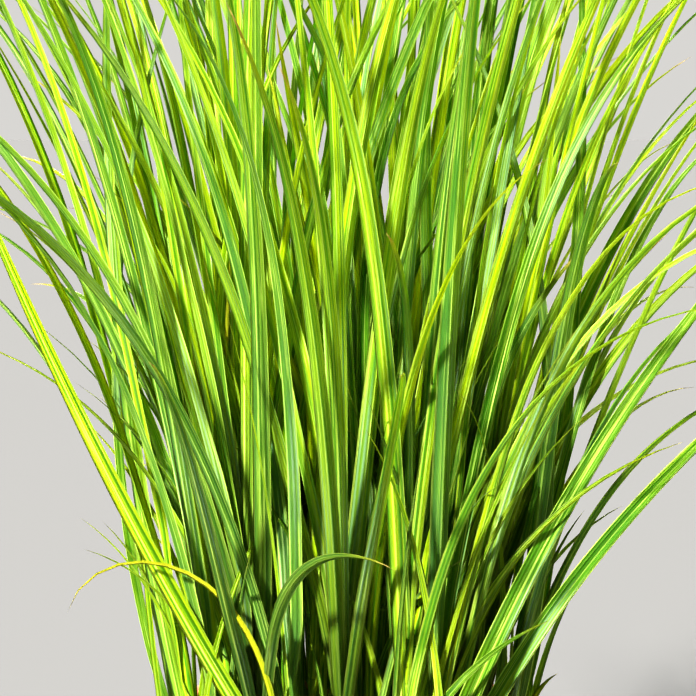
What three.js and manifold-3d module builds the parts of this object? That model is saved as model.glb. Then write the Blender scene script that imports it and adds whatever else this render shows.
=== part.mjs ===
// A clump of Chinese silver grass growing in a plain clay pot.
// Sizes are in millimetres and angles in degrees. +Z is up, the origin is the middle of the pot's
// underside, and -Y faces the viewer. The pot is filled with compost. Each leafy stem is one grown
// piece: a round stem, wrapped in its leaf sheaths, and the long blades that part from it in turn.
import * as THREE from "three";
import { mergeVertices } from "three/addons/utils/BufferGeometryUtils.js";
import Module from "manifold-3d";

const wasm = await Module();
wasm.setup();

const POT = {
  height: 280,
  footRadius: 112,
  rimRadius: 165,
  wall: 10,
  floor: 13,
  collarHeight: 45,
  collarStep: 6,
  lip: 3,
  drains: 4,
  drainRadius: 7,
  drainCircle: 64,
  sides: 44,
};
const SOIL = { level: 248, mound: 8, lump: 1.6, gap: 0.4, sectors: 36, rings: 5 };
const STEM = {
  count: 46,
  crownRadius: 122,
  spacing: 20,
  sides: 6,
  footRadius: 4.3,
  topRadius: 2.4,
  footDepth: 40,
  upright: 12,
  holeGap: 0.4,
};
// Each pair is for a stem in the middle of the crown and one at its edge. Edge stems are shorter and
// lean outwards more. goldenAngle and seats spread the feet like a sunflower's seeds.
const CROWN = {
  height: [250, 160],
  heightVary: 60,
  footLean: [0.5, 3.5],
  topLean: [2, 11],
  topLeanVary: 3,
  leanPower: 1.2,
  headingVary: 40,
  goldenAngle: 137.508,
  seats: 48,
  turnVary: 14,
  placeVary: 6,
};
const LEAF = {
  perStem: 10,
  perFrontStem: 4,
  thickness: 1.3,
  tipThickness: 0.8,
  fold: 0.36,
  tipFold: 0.1,
  rootShare: 0.28,
  widenBy: 0.14,
  taperPower: 2.2,
  tipPower: 0.9,
};
// What the lowest and the topmost leaf of a stem are like. rise is how far up the stem a leaf
// parts, as a share of its height, and arch is how far it bends over between its root and its tip.
const LOW_LEAF = { rise: 0.08, lean: 9, arch: 52, archVary: 50, length: 430, width: 11 };
const TOP_LEAF = { rise: 1, lean: 3, arch: 12, archVary: 34, length: 540, width: 10.5 };
const MIDDLE_LONGER = 150;
// How much leaves differ from that. pull turns a leaf towards the outside of the clump, edgeLean
// and edgeArch are for stems at the crown's edge, and turnedOver is the share that twist the most.
const LEAF_VARY = {
  side: 50,
  pull: 0.75,
  drift: 50,
  lean: 6,
  edgeLean: 4,
  edgeArch: [0.75, 1.1],
  power: [1.6, 3.4],
  length: 150,
  shorter: 0.4,
  width: [0.8, 1.25],
  roll: 70,
  twist: [150, 60],
  turnedOver: 0.4,
};
// A leaf that would touch another is tried again with its directions and its length changed. The
// change grows with each try up to these values.
const STRAY = { tries: 60, fullAfter: 24, heading: 75, drift: 40, foot: 7, tip: 30, roll: 50, shorter: 0.35 };
const MAIN_LEAF_STRAY = 0.3;
const SEEDS = { stem: 1, crown: 4242, leaf: 1000, tries: 9000, perStem: 20 };
// Stems and leaves are followed in this many steps. A stem's solid has rings at the ones named
// here. A leaf's has more rings the more it arches, closer together towards its tip.
const STEPS = 24;
const STEM_RINGS = [0, 12, 24];
const LEAF_RINGS = { fewest: 4, most: 6, archEach: 36, crowding: 1.3 };
// Two leaves stay this far apart. Leaves of one stem may touch near to their roots.
const CLEAR = { apart: 3.4, step: 2, root: 45, across: [-1, -0.6, -0.2, 0.2, 0.6, 1], overRim: 6 };

// The stems nearest the viewer and their main leaves, as the picture shows them. x and y place the
// foot, height is the stem's, rise is how far up it a leaf parts, and heading is the way it leans:
// 0 to the viewer's right, 180 to the left, -90 towards the viewer.
const FRONT = [
  { x: -118, y: -8, height: 170, leaves: [
    { rise: 12, heading: 4, lean: [-18, 22], power: 1, length: 600, width: 7, roll: 76 },
  ] },
  { x: -104, y: -44, height: 150, leaves: [
    { rise: 8, heading: 174, lean: [15, -5], power: 0.9, length: 640, width: 12, roll: 82 },
    { rise: 30, heading: -8, lean: [4, 52], power: 1.2, length: 200, width: 5, roll: 60 },
  ] },
  { x: -84, y: -70, height: 140, leaves: [
    { rise: 10, heading: 188, lean: [5, 15], power: 1.2, length: 465, width: 14, roll: 82 },
  ] },
  { x: -66, y: -56, height: 150, leaves: [
    { rise: 26, heading: 0, lean: [-1, 4], power: 0.7, length: 620, width: 6, roll: 60 },
  ] },
  { x: -78, y: -34, height: 160, leaves: [
    { rise: 20, heading: -8, lean: [-2, 50], power: 3.4, length: 600, width: 9, roll: 74 },
  ] },
  { x: -84, y: -12, height: 170, leaves: [
    { rise: 34, heading: 4, lean: [-1, 14], power: 2.6, length: 450, width: 8, roll: 80 },
  ] },
  { x: -36, y: -90, height: 120, leaves: [
    { rise: 4, heading: 190, lean: [32, 20], power: 0.8, length: 520, width: 13, roll: 78 },
  ] },
  { x: -42, y: -30, height: 170, leaves: [
    { rise: 16, heading: 178, lean: [0, 10], power: 1.2, length: 620, width: 13, roll: 82 },
  ] },
  { x: -22, y: -60, height: 150, leaves: [
    { rise: 6, heading: 182, lean: [-1, 13], power: 2, length: 490, width: 13, roll: 84 },
  ] },
  { x: 0, y: -44, height: 160, leaves: [
    { rise: 10, heading: 178, lean: [3, 10], power: 1.2, length: 470, width: 12, roll: 82 },
  ] },
  { x: 12, y: -70, height: 140, leaves: [
    { rise: 8, heading: 184, lean: [2, 4], power: 1, length: 540, width: 12, roll: 84 },
    { rise: 24, heading: -30, lean: [4, 60], power: 1.4, length: 175, width: 7, roll: 50 },
  ] },
  { x: 24, y: -22, height: 170, leaves: [
    { rise: 14, heading: 4, lean: [-4, 60], power: 4, length: 610, width: 11, roll: 76 },
  ] },
  { x: 26, y: 6, height: 190, leaves: [
    { rise: 20, heading: 0, lean: [1.5, 3], power: 1, length: 620, width: 12, roll: 84 },
  ] },
  { x: 3, y: -18, height: 180, leaves: [
    { rise: 16, heading: 6, lean: [0, 58], power: 2.4, length: 560, width: 10, roll: 72 },
  ] },
  { x: 34, y: -104, height: 110, leaves: [
    { rise: 6, heading: -12, lean: [10, 64], power: 1, length: 170, width: 7, roll: 70 },
  ] },
  { x: 54, y: -92, height: 110, leaves: [
    { rise: 4, heading: -10, lean: [20, 42], power: 1.3, length: 480, width: 14, roll: 78 },
  ] },
  { x: 68, y: -72, height: 120, leaves: [
    { rise: 4, heading: -16, lean: [25, 54], power: 1.2, length: 430, width: 12, roll: 76 },
  ] },
  { x: 38, y: -78, height: 130, leaves: [
    { rise: 6, heading: -12, lean: [14, 38], power: 2, length: 335, width: 12, roll: 78 },
  ] },
  { x: 40, y: -50, height: 150, leaves: [
    { rise: 8, heading: -4, lean: [8, 10], power: 1, length: 620, width: 12, roll: 83 },
  ] },
  { x: 20, y: -47, height: 150, leaves: [
    { rise: 18, heading: -6, lean: [6, 48], power: 3, length: 580, width: 9, roll: 72 },
  ] },
  { x: 45, y: -27, height: 160, leaves: [
    { rise: 14, heading: 3, lean: [1, 32], power: 2.5, length: 490, width: 9, roll: 76 },
  ] },
  { x: 63, y: -46, height: 140, leaves: [
    { rise: 30, heading: -8, lean: [2, 50], power: 2.2, length: 250, width: 5, roll: 60 },
  ] },
  { x: 108, y: -38, height: 160, leaves: [
    { rise: 6, heading: 176, lean: [-12, 32], power: 1.4, length: 590, width: 9, roll: 76 },
  ] },
  { x: 118, y: 4, height: 170, leaves: [
    { rise: 10, heading: 6, lean: [11, -4], power: 1, length: 620, width: 12, roll: 83 },
  ] },
];

const COLOURS = { clay: "#b8694a", compost: "#2e2219", leaf: "#7fb022", blueLeaf: "#4f8a3c" };

const radians = THREE.MathUtils.degToRad;
const degrees = THREE.MathUtils.radToDeg;
const mix = THREE.MathUtils.lerp;

// A stream of numbers from 0 to 1, the same on every run for the same seed.
function numbers(seed) {
  let state = (seed * 2654435761 + 97) % 2 ** 32;
  return () => {
    state = (state * 1664525 + 1013904223) % 2 ** 32;
    return state / 2 ** 32;
  };
}

// The rule that places stems and leaves

// The line that a stem or a leaf follows from start. Its lean from upright goes from the first value
// to the second, and its heading turns by drift on the way.
function follow(start, { heading, drift, lean, power, length }) {
  const towards = (share) => {
    const tilt = radians(mix(lean[0], lean[1], share ** power));
    const turn = radians(heading + drift * share);
    const along = new THREE.Vector3(
      Math.sin(tilt) * Math.cos(turn),
      Math.sin(tilt) * Math.sin(turn),
      Math.cos(tilt),
    );
    return { along, across: new THREE.Vector3(Math.sin(turn), -Math.cos(turn), 0) };
  };
  const at = start.clone();
  const line = [];
  for (let i = 0; i <= STEPS; i++) {
    line.push({ at: at.clone(), ...towards(i / STEPS) });
    at.addScaledVector(towards((i + 0.5) / STEPS).along, length / STEPS);
  }
  return line;
}

function leafWidth(share, width) {
  const root = mix(LEAF.rootShare, 1, Math.min(1, share / LEAF.widenBy));
  return width * root * (1 - share ** LEAF.taperPower) ** LEAF.tipPower;
}

function ringSteps({ lean }) {
  const { fewest, most, archEach, crowding } = LEAF_RINGS;
  const parts = Math.min(most, fewest + Math.floor(Math.abs(lean[1] - lean[0]) / archEach));
  return [...Array(parts + 1).keys()].map((i) => Math.round(STEPS * (1 - (1 - i / parts) ** crowding)));
}

// The leaf's section at each ring: its middle, half its width as a vector, and the way its upper
// face looks. The two halves fold up from the rib.
function leafSections(start, leaf) {
  const line = follow(start, leaf);
  return ringSteps(leaf).map((i) => {
    const share = i / STEPS;
    const { at, along, across } = line[i];
    const roll = radians(leaf.roll + leaf.twist * share);
    const half = leafWidth(share, leaf.width) / 2;
    const side = across.clone().applyAxisAngle(along, roll);
    const up = side.clone().cross(along);
    const fold = half * mix(LEAF.fold, LEAF.tipFold, share);
    return { at, side: side.multiplyScalar(half), up, fold, share };
  });
}

// A point of a section: u runs from -1 to 1 across it. The leaf's solid is flat above, from edge to
// edge, and has a keel below the rib, so its middle lies between the two.
const onSection = (section, u, lift) =>
  section.at
    .clone()
    .addScaledVector(section.side, u)
    .addScaledVector(section.up, Math.abs(u) * section.fold + lift);
const thicknessAt = (share) => mix(LEAF.thickness, LEAF.tipThickness, share);
const inMiddle = (section, u) =>
  onSection(section, u, ((1 - Math.abs(u)) * (section.fold - thicknessAt(section.share))) / 2);

// A try at a leaf. The first is the leaf as wished, and later ones stray from it more and more.
function strayed(wish, attempt, draw) {
  const stray = wish.stray * Math.min(1, attempt / STRAY.fullAfter);
  const by = (most) => (draw() * 2 - 1) * most * stray;
  return {
    ...wish,
    heading: wish.heading + by(STRAY.heading),
    drift: wish.drift + by(STRAY.drift),
    lean: [wish.lean[0] + by(STRAY.foot), wish.lean[1] + by(STRAY.tip)],
    roll: wish.roll + by(STRAY.roll),
    length: wish.length * (1 - STRAY.shorter * draw() * stray),
  };
}

const mainLeaves = (stem) => FRONT[stem.number]?.leaves ?? [];
const leafCount = (stem) => (FRONT[stem.number] ? LEAF.perFrontStem : LEAF.perStem);

// The stem that stands at x, y. Its height is drawn where it isn't given.
function stemAt(x, y, number, givenHeight) {
  const draw = numbers(SEEDS.stem + number);
  const out = Math.hypot(x, y) / STEM.crownRadius;
  const heading = degrees(Math.atan2(y, x));
  const height = givenHeight ?? mix(...CROWN.height, out) + CROWN.heightVary * (draw() - 0.5);
  const foot = new THREE.Vector3(x, y, SOIL.level + STEM.upright);
  const line = follow(foot, {
    heading: heading + CROWN.headingVary * (draw() - 0.5),
    drift: 0,
    lean: [mix(...CROWN.footLean, out), mix(...CROWN.topLean, out) + CROWN.topLeanVary * draw()],
    power: CROWN.leanPower,
    length: height,
  });
  return { number, x, y, out, heading, height, rank: 360 * draw(), line };
}

// A point of a line, place steps along it.
function onLine(line, place) {
  const i = Math.min(STEPS - 1, Math.floor(place));
  return line[i].at.clone().lerp(line[i + 1].at, place - i);
}

// The front stems, and others spread over the rest of the crown, each a little out of place.
function allStems() {
  const stems = FRONT.map((front, i) => stemAt(front.x, front.y, i, front.height));
  const draw = numbers(SEEDS.crown);
  for (let seat = 0.5; stems.length < STEM.count && seat < 2 * CROWN.seats; seat++) {
    const reach = Math.min(1, Math.sqrt(seat / CROWN.seats)) * STEM.crownRadius;
    const turn = radians(CROWN.goldenAngle * seat + CROWN.turnVary * (draw() - 0.5));
    const x = reach * Math.cos(turn) + CROWN.placeVary * (draw() - 0.5);
    const y = reach * Math.sin(turn) + CROWN.placeVary * (draw() - 0.5);
    if (stems.every((other) => Math.hypot(other.x - x, other.y - y) > STEM.spacing))
      stems.push(stemAt(x, y, stems.length));
  }
  return stems;
}

// The leaves a stem should have, from the lowest to the topmost, after its main leaves. They part to
// two sides in turn, and the lower ones arch over the most.
function leafWishes(stem) {
  const main = mainLeaves(stem).map((leaf) => ({ ...leaf, drift: 0, twist: 0, stray: MAIN_LEAF_STRAY }));
  const wishes = [...main];
  const count = leafCount(stem);
  for (let k = main.length; k < count; k++) {
    const draw = numbers(SEEDS.leaf + SEEDS.perStem * stem.number + k);
    const up = (k - main.length + 0.5) / (count - main.length);
    const between = (what) => mix(LOW_LEAF[what], TOP_LEAF[what], up);
    const side = radians(stem.rank + 180 * (k % 2) + LEAF_VARY.side * (draw() - 0.5));
    const outwards = radians(stem.heading);
    const pull = LEAF_VARY.pull * stem.out;
    const x = mix(Math.cos(side), Math.cos(outwards), pull);
    const y = mix(Math.sin(side), Math.sin(outwards), pull);
    const lean = between("lean") + LEAF_VARY.lean * draw() + LEAF_VARY.edgeLean * stem.out;
    const arch = (between("arch") + between("archVary") * draw()) * mix(...LEAF_VARY.edgeArch, stem.out);
    const longer = MIDDLE_LONGER * Math.sin(Math.PI * up) + LEAF_VARY.length * (draw() - LEAF_VARY.shorter);
    wishes.push({
      rise: stem.height * between("rise"),
      heading: degrees(Math.atan2(y, x)),
      drift: LEAF_VARY.drift * (draw() - 0.5),
      lean: [lean, lean + arch],
      power: mix(...LEAF_VARY.power, draw()),
      length: between("length") + longer,
      width: between("width") * mix(...LEAF_VARY.width, draw()),
      roll: LEAF_VARY.roll * (draw() - 0.5),
      twist: LEAF_VARY.twist[draw() < LEAF_VARY.turnedOver ? 0 : 1] * (draw() - 0.5),
      stray: 1,
    });
  }
  return wishes;
}

// Keeping the leaves clear of each other

// The points of every stem and leaf placed so far, in cells as wide as the distance to keep. far
// marks those that are well away from their own leaf's root.
const taken = new Map();
const CELLS = 2048;
const cellOf = (value) => Math.floor(value / CLEAR.apart) + CELLS / 2;
const cellKey = (i, j, k) => (i * CELLS + j) * CELLS + k;

function take(points, owner) {
  for (const point of points) {
    const key = cellKey(...point.at.toArray().map(cellOf));
    if (!taken.has(key)) taken.set(key, []);
    taken.get(key).push({ ...point, owner });
  }
}

function isClear(points, owner) {
  const insideRim = POT.rimRadius - POT.wall - 2 * CLEAR.overRim;
  return points.every(({ at, far }) => {
    const reach = Math.hypot(at.x, at.y);
    const floor = reach < insideRim ? SOIL.level + SOIL.mound : POT.height;
    if (reach < POT.rimRadius + CLEAR.overRim && at.z < floor + CLEAR.overRim) return false;
    const [ci, cj, ck] = at.toArray().map(cellOf);
    for (let i = ci - 1; i <= ci + 1; i++)
      for (let j = cj - 1; j <= cj + 1; j++)
        for (let k = ck - 1; k <= ck + 1; k++)
          for (const other of taken.get(cellKey(i, j, k)) ?? []) {
            const mayTouch = other.owner === owner && !(other.far && far);
            if (!mayTouch && other.at.distanceToSquared(at) < CLEAR.apart ** 2) return false;
          }
    return true;
  });
}

// Points all over a leaf, a step apart.
function leafPoints(sections, length) {
  const points = [];
  for (let i = 0; i + 1 < sections.length; i++) {
    const [low, high] = [sections[i], sections[i + 1]];
    const steps = Math.ceil(((high.share - low.share) * length) / CLEAR.step);
    for (const u of CLEAR.across) {
      const [from, to] = [low, high].map((section) => inMiddle(section, u));
      for (let s = 0; s < steps; s++) {
        const share = mix(low.share, high.share, s / steps);
        points.push({ at: from.clone().lerp(to, s / steps), far: share * length > CLEAR.root });
      }
    }
  }
  return points;
}

// Points all round a stem, and down its middle.
function stemPoints(stem) {
  const points = [];
  const per = Math.ceil(stem.height / STEPS / CLEAR.step);
  for (let i = 0; i < STEPS * per; i++) {
    const place = i / per;
    const step = stem.line[Math.floor(place)];
    const radius = mix(STEM.footRadius, STEM.topRadius, place / STEPS);
    const at = onLine(stem.line, place);
    points.push({ at, far: false });
    for (let s = 0; s < STEM.sides; s++) {
      const outwards = step.across.clone().applyAxisAngle(step.along, (2 * Math.PI * s) / STEM.sides);
      points.push({ at: at.clone().addScaledVector(outwards, radius), far: false });
    }
  }
  return points;
}

// The first try at a leaf that is clear of everything placed so far, or nothing.
function settle(stem, k, wish) {
  const draw = numbers(SEEDS.tries + SEEDS.perStem * stem.number + k);
  const start = onLine(stem.line, (wish.rise / stem.height) * STEPS);
  for (let attempt = 0; attempt < STRAY.tries; attempt++) {
    const leaf = strayed(wish, attempt, draw);
    const sections = leafSections(start, leaf);
    const points = leafPoints(sections, leaf.length);
    if (isClear(points, stem.number)) {
      take(points, stem.number);
      return sections;
    }
  }
  return null;
}

// Solids

// A three.js geometry as a solid that can be joined and cut.
function solidOf(geometry) {
  const bare = geometry.clone();
  bare.deleteAttribute("normal");
  bare.deleteAttribute("uv");
  const merged = mergeVertices(bare, 1e-4);
  return new wasm.Manifold(
    new wasm.Mesh({
      numProp: 3,
      vertProperties: merged.attributes.position.array,
      triVerts: new Uint32Array(merged.index.array),
    }),
  );
}

function geometryOf(solid) {
  const made = solid.getMesh();
  return new THREE.BufferGeometry()
    .setAttribute("position", new THREE.BufferAttribute(made.vertProperties, 3))
    .setIndex(new THREE.BufferAttribute(made.triVerts, 1));
}

// Moves each point of an upright cylinder or cone of radius 1 and height 1. place gets its share of
// the height, and where it is in the section, from -1 to 1 both ways.
function reshaped(geometry, place, pointed) {
  const at = geometry.attributes.position;
  for (let i = 0; i < at.count; i++) {
    const share = at.getY(i) + 0.5;
    const shrink = pointed ? Math.max(1 - share, 1e-9) : 1;
    const p = place(share, at.getX(i) / shrink, at.getZ(i) / shrink);
    at.setXYZ(i, p.x, p.y, p.z);
  }
  return geometry;
}

// A leaf is a three-sided cone: two corners become its edges and the third the keel of its rib.
function leafSolid(sections) {
  const parts = sections.length - 1;
  const edgeAt = Math.sin(Math.PI / 3);
  const cone = new THREE.ConeGeometry(1, 1, 3, parts);
  return solidOf(
    reshaped(
      cone,
      (share, x, z) => {
        const section = sections[Math.round(share * parts)];
        if (section.share === 1) return section.at.clone();
        return onSection(section, -x / edgeAt, z > 0 ? -thicknessAt(section.share) : 0);
      },
      true,
    ),
  );
}

// The stem goes straight down into the compost as far as its foot.
function stemSolid(stem) {
  const rings = STEM_RINGS.length;
  const tube = new THREE.CylinderGeometry(1, 1, 1, STEM.sides, rings);
  return solidOf(
    reshaped(tube, (share, u, v) => {
      const ring = Math.round(share * rings) - 1;
      const step = STEM_RINGS[Math.max(ring, 0)];
      const { at, along, across } = stem.line[step];
      const radius = mix(STEM.footRadius, STEM.topRadius, step / STEPS);
      const upwards = ring < 1 ? new THREE.Vector3(0, 0, 1) : along;
      const p = at.clone().addScaledVector(across, u * radius);
      p.addScaledVector(across.clone().cross(upwards), v * radius);
      if (ring < 0) p.z = SOIL.level - STEM.footDepth;
      return p;
    }),
  );
}

function holeSolid(stem) {
  const depth = STEM.footDepth + STEM.upright + SOIL.mound;
  const radius = STEM.footRadius + STEM.holeGap / Math.cos(Math.PI / STEM.sides);
  const bore = new THREE.CylinderGeometry(1, 1, 1, STEM.sides, 1);
  const across = stem.line[0].across;
  const back = across.clone().cross(new THREE.Vector3(0, 0, 1));
  return solidOf(
    reshaped(bore, (share, u, v) => {
      const p = new THREE.Vector3(stem.x, stem.y, SOIL.level - STEM.footDepth - STEM.holeGap + share * depth);
      return p.addScaledVector(across, u * radius).addScaledVector(back, v * radius);
    }),
  );
}

// A turned solid from points of radius and height.
function turned(profile, sides) {
  const lathe = new THREE.LatheGeometry(profile.map(([r, z]) => new THREE.Vector2(r, z)), sides);
  return lathe.rotateX(Math.PI / 2);
}

const bodySlope = (POT.rimRadius - POT.collarStep - POT.footRadius) / POT.height;
const innerRadius = (z) => POT.footRadius + bodySlope * z - POT.wall;

function potSolid() {
  const { height, footRadius, rimRadius, floor, collarHeight, lip, sides } = POT;
  const under = height - collarHeight;
  const profile = [
    [0, 0],
    [footRadius - lip, 0],
    [footRadius, lip],
    [footRadius + bodySlope * under, under],
    [rimRadius - 1, under + 1],
    [rimRadius, under + 2 * lip],
    [rimRadius, height - lip],
    [rimRadius - lip, height],
    [innerRadius(height) + lip, height],
    [innerRadius(height), height - lip],
    [innerRadius(floor), floor],
    [0, floor],
  ];
  let pot = solidOf(turned(profile, sides));
  for (let i = 0; i < POT.drains; i++) {
    const turn = (2 * Math.PI * (i + 0.5)) / POT.drains;
    const drain = new THREE.CylinderGeometry(POT.drainRadius, POT.drainRadius, 4 * floor, 12);
    drain.rotateX(Math.PI / 2);
    drain.translate(POT.drainCircle * Math.cos(turn), POT.drainCircle * Math.sin(turn), floor / 2);
    pot = pot.subtract(solidOf(drain));
  }
  return pot;
}

// The compost fills the pot to just under the rim. Its top is mounded a little and lumpy.
function soilSolid(stems) {
  const { level, mound, lump, gap, sectors, rings } = SOIL;
  const low = POT.floor + gap;
  const edge = innerRadius(level) - gap;
  const profile = [[0, low], [innerRadius(low) - gap, low]];
  for (let i = 0; i <= rings; i++) {
    const r = edge * (1 - i / rings);
    profile.push([r, level + mound * (1 - (r / edge) ** 2)]);
  }
  const geometry = turned(profile, sectors);
  const at = geometry.attributes.position;
  for (let i = 0; i < at.count; i++) {
    const [x, y, z] = [at.getX(i), at.getY(i), at.getZ(i)];
    const inside = Math.hypot(x, y) < edge - 1;
    if (inside && z > level - 1) at.setZ(i, z + lump * (Math.sin(x / 9) + Math.cos(y / 11 + x / 23)));
  }
  return stems.reduce((soil, stem) => soil.subtract(holeSolid(stem)), solidOf(geometry));
}

// The object

const matt = (color) => new THREE.MeshStandardMaterial({ color, roughness: 0.9, metalness: 0 });
const finishes = {
  clay: matt(COLOURS.clay),
  compost: matt(COLOURS.compost),
  leaf: new THREE.MeshStandardMaterial({ color: COLOURS.leaf, roughness: 0.42, metalness: 0 }),
  blueLeaf: new THREE.MeshStandardMaterial({ color: COLOURS.blueLeaf, roughness: 0.42, metalness: 0 }),
};

function mesh(name, solid, finish, at = new THREE.Vector3()) {
  const geometry = geometryOf(solid).translate(-at.x, -at.y, -at.z);
  const made = new THREE.Mesh(geometry, finish);
  made.name = name;
  made.position.copy(at);
  return made;
}

const stems = allStems();
for (const stem of stems) take(stemPoints(stem), stem.number);

// The main leaves of the front stems are settled first. Then each stem's topmost leaf is, and so on
// down to the lowest ones.
const settled = stems.map(() => []);
const wishes = stems.map(leafWishes);
function settleAll(k, main) {
  for (const stem of stems) {
    if (k >= leafCount(stem) || k < mainLeaves(stem).length !== main) continue;
    const leaf = settle(stem, k, wishes[stem.number][k]);
    if (leaf) settled[stem.number].push(leaf);
  }
}
for (let k = 0; k < LEAF.perStem; k++) settleAll(k, true);
for (let k = LEAF.perStem - 1; k >= 0; k--) settleAll(k, false);

const plant = new THREE.Group();
for (const stem of stems) {
  const leafy = settled[stem.number].reduce((whole, leaf) => whole.add(leafSolid(leaf)), stemSolid(stem));
  const name = "leafy_stem_" + String(stem.number + 1).padStart(2, "0");
  plant.add(mesh(name, leafy, stem.number % 3 ? finishes.leaf : finishes.blueLeaf, stem.line[0].at));
}

const potted = new THREE.Group();
potted.add(mesh("pot", potSolid(), finishes.clay), mesh("soil", soilSolid(stems), finishes.compost), plant);

export default potted;
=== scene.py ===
"""A clump of Chinese silver grass in a clay pot, dressed over its solids.

Stems and leaves follow the same rule as the solids, in millimetres. A leaf there was tried in
several directions until it stood clear of its neighbours, and here the try whose tip lies on the
solid is the one that is made. Everything else is in metres, in the solids' own frame.
"""

from functools import partialmethod
from math import atan2, copysign, cos, degrees, exp, hypot, pi, radians, sin, sqrt, tau

import bmesh
import bpy
from mathutils import Matrix, Quaternion, Vector, noise
from mathutils.kdtree import KDTree


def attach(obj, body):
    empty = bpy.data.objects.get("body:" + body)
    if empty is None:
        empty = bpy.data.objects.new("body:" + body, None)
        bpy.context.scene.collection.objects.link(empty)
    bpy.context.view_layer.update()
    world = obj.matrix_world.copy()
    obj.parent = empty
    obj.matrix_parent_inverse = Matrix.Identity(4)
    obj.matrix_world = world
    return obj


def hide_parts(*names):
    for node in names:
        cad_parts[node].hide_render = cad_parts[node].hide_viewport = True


bl_info = {
    "name": "Silver Grass in a Clay Pot",
    "version": (1, 0, 0),
    "blender": (4, 5, 0),
    "location": "3D View > Sidebar > Silver Grass",
    "description": "Dresses a potted clump of grass: pot, compost, stems, leaves and stage",
    "category": "Add Mesh",
}

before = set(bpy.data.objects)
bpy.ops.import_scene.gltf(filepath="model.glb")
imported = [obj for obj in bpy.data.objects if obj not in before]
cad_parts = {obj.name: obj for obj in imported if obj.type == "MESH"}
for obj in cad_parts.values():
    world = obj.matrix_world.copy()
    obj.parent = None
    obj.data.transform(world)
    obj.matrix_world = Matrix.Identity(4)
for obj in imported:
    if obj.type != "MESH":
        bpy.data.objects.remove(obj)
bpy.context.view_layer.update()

MM = 0.001
BODY = "root"

# The measures of the solids, in millimetres and degrees.
SOIL_LEVEL = 248.0
SOIL_MOUND = 8.0
SOIL_LUMP = 1.6
STEM_COUNT = 46
CROWN_RADIUS = 122.0
STEM_SPACING = 20.0
FOOT_RADIUS = 4.3
TOP_RADIUS = 2.4
UPRIGHT = 12.0
CROWN = {
    "height": (250, 160), "height_vary": 60, "foot_lean": (0.5, 3.5), "top_lean": (2, 11),
    "top_lean_vary": 3, "lean_power": 1.2, "heading_vary": 40, "golden_angle": 137.508,
    "seats": 48, "turn_vary": 14, "place_vary": 6,
}
LEAVES_PER_STEM = 10
LEAVES_PER_FRONT_STEM = 4
TAPER_POWER = 2.2
TIP_POWER = 0.9
FOLD = 0.36
TIP_FOLD = 0.1
LOW_LEAF = {"rise": 0.08, "lean": 9, "arch": 52, "arch_vary": 50, "length": 430, "width": 11}
TOP_LEAF = {"rise": 1, "lean": 3, "arch": 12, "arch_vary": 34, "length": 540, "width": 10.5}
MIDDLE_LONGER = 150
LEAF_VARY = {
    "side": 50, "pull": 0.75, "drift": 50, "lean": 6, "edge_lean": 4, "edge_arch": (0.75, 1.1),
    "power": (1.6, 3.4), "length": 150, "shorter": 0.4, "width": (0.8, 1.25), "roll": 70,
    "twist": (150, 60), "turned_over": 0.4,
}
STRAY = {
    "tries": 60, "full_after": 24, "heading": 75, "drift": 40, "foot": 7, "tip": 30, "roll": 50,
    "shorter": 0.35,
}
MAIN_LEAF_STRAY = 0.3
SEEDS = {
    "stem": 1, "crown": 4242, "leaf": 1000, "tries": 9000, "per_stem": 20, "look": 5000,
    "low": 6000, "sheath": 7000, "thin": 8000, "crumbs": 77,
}
STEPS = 24
# What each main leaf of a stem and each thin blade is given by, in the order of the tables below.
MAIN_LEAF = ("rise", "heading", "lean", "power", "length", "width", "roll")
MAIN_LEAF_AGE = 0.35
BEND = ("heading", "drift", "lean", "power", "length")
THIN_BLADE = ("heading", "lean", "power", "length", "width", "tone")

# Points nearer than this are one, in metres.
MERGE = 2e-6

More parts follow.
